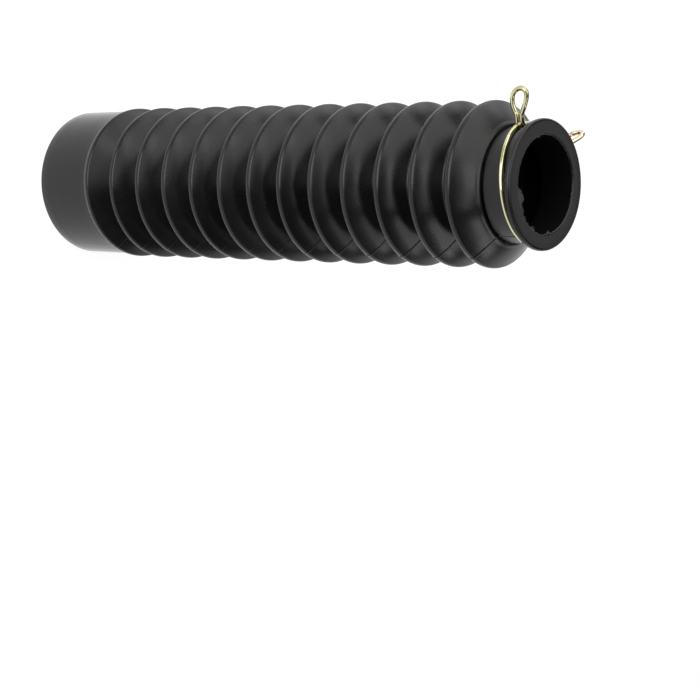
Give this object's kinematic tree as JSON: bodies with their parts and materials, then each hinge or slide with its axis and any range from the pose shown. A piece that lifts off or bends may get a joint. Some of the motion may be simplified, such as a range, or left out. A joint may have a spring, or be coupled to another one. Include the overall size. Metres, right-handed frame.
{
  "type": "fork gaiter",
  "caption": "Rubber bellows that covers a motorcycle fork tube: a wide cuff, rounded folds and a narrow flanged neck closed by a spring wire clip.",
  "frame": {"origin": "centre of the wide cuff's mouth, in the plane of its edge", "axes": "+Z along the gaiter's axis from the cuff's mouth to the neck, +X midway between the clip's two eyes"},
  "size_m": [0.066, 0.066, 0.2476],
  "materials": {
    "rubber": "satin moulded rubber",
    "wire": "yellow zinc plated spring wire"
  },
  "bodies": {
    "root": {"bellows": "rubber", "neck_clip": "wire"}
  },
  "joints": []
}
